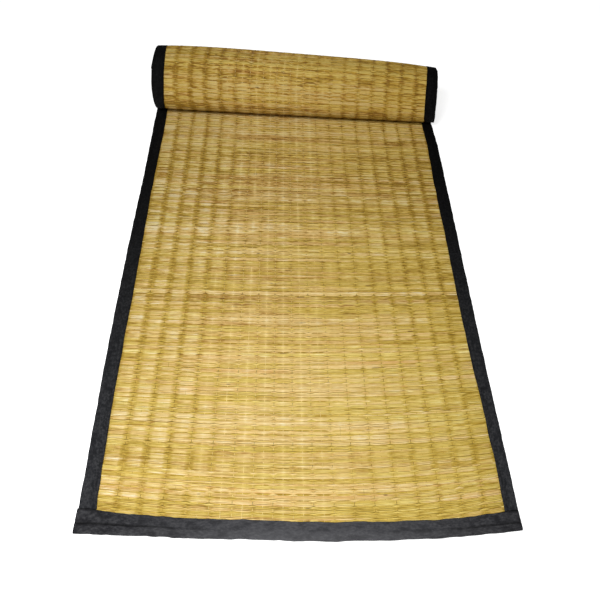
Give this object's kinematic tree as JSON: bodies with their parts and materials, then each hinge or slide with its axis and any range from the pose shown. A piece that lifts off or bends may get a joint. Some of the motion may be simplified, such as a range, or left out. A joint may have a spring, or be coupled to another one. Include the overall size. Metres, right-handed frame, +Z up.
{
  "type": "woven grass mat",
  "caption": "Long woven grass floor mat with black cloth binding on every edge, lying flat with its far end rolled up over itself.",
  "frame": {"origin": "on the floor, in the middle of the footprint of the whole mat", "axes": "+X across the mat to the right, +Y along it from the near end to the roll, +Z up"},
  "size_m": [0.6264, 1.2768, 0.1446],
  "materials": {
    "grass": "dried sedge stalks woven on cotton warps, slightly glossy",
    "cloth": "matt plain woven cotton tape"
  },
  "bodies": {
    "root": {"grass_mat": "grass", "binding_left": "cloth", "binding_right": "cloth", "binding_front": "cloth", "binding_core": "cloth"}
  },
  "joints": []
}
